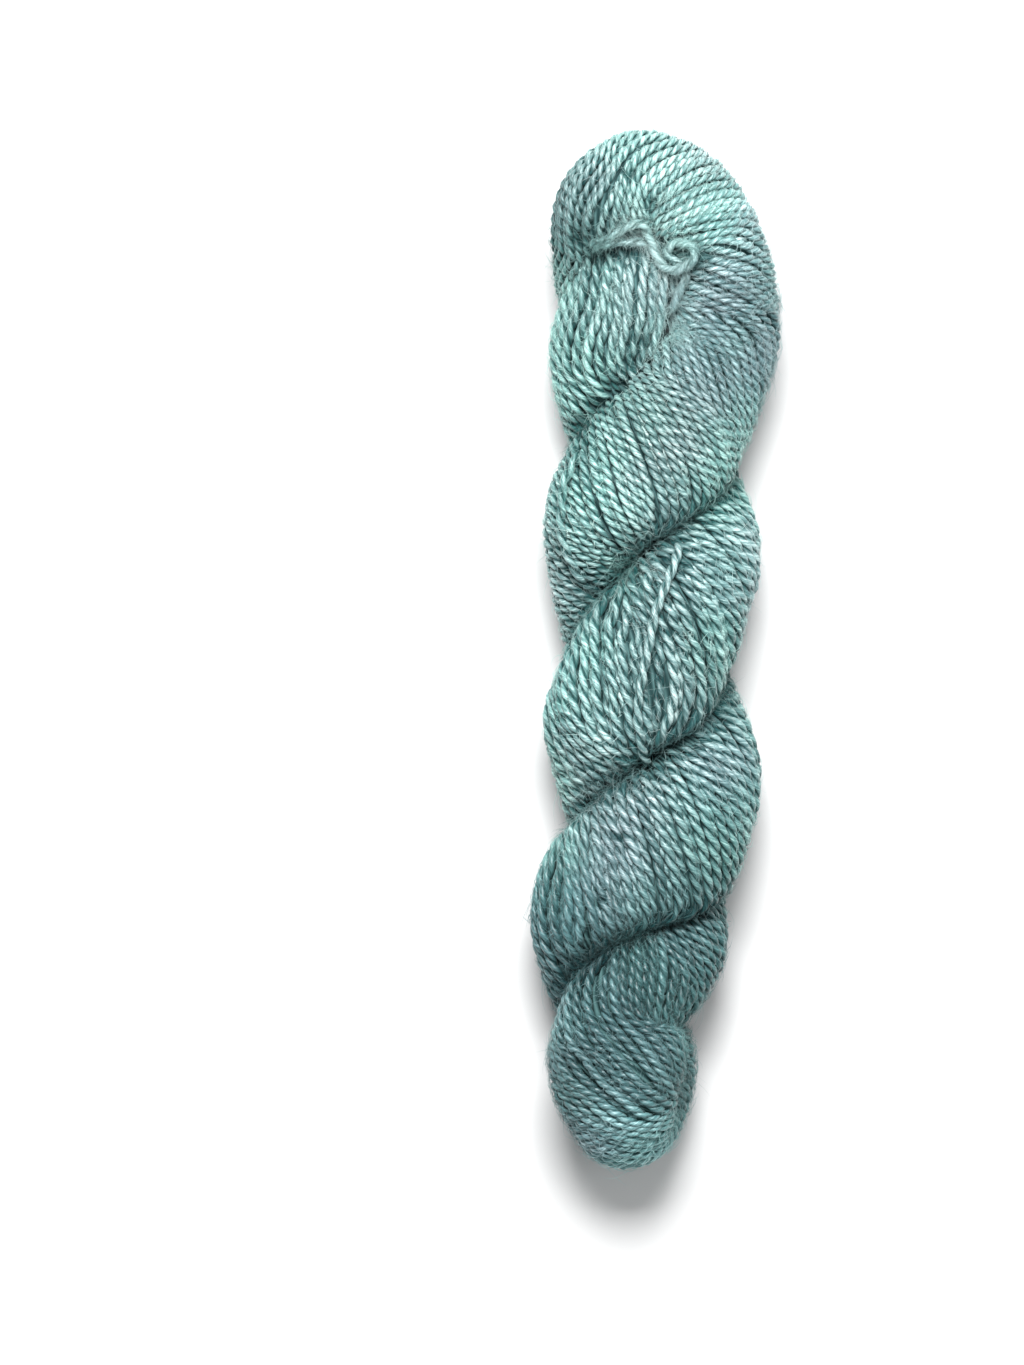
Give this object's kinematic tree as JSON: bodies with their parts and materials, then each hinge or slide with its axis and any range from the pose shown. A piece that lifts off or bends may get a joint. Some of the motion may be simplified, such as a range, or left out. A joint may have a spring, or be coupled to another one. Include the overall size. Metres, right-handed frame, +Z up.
{
  "type": "twisted skein of yarn",
  "caption": "Skein of plied yarn, folded and twisted like a rope, with the head loop opened over the tucked end and a short knotted tie.",
  "frame": {"origin": "on the surface the skein lies on, under the middle of its bounding box", "axes": "+Y along the skein towards the head loop, +X to its right seen from above, +Z up"},
  "size_m": [0.0675, 0.2797, 0.0513],
  "materials": {
    "skein_yarn": "soft, hairy two-ply yarn in uneven teal",
    "tie_yarn": "soft, fluffy pale teal yarn"
  },
  "bodies": {
    "root": {"skein_body": "skein_yarn", "tie": "tie_yarn"}
  },
  "joints": []
}
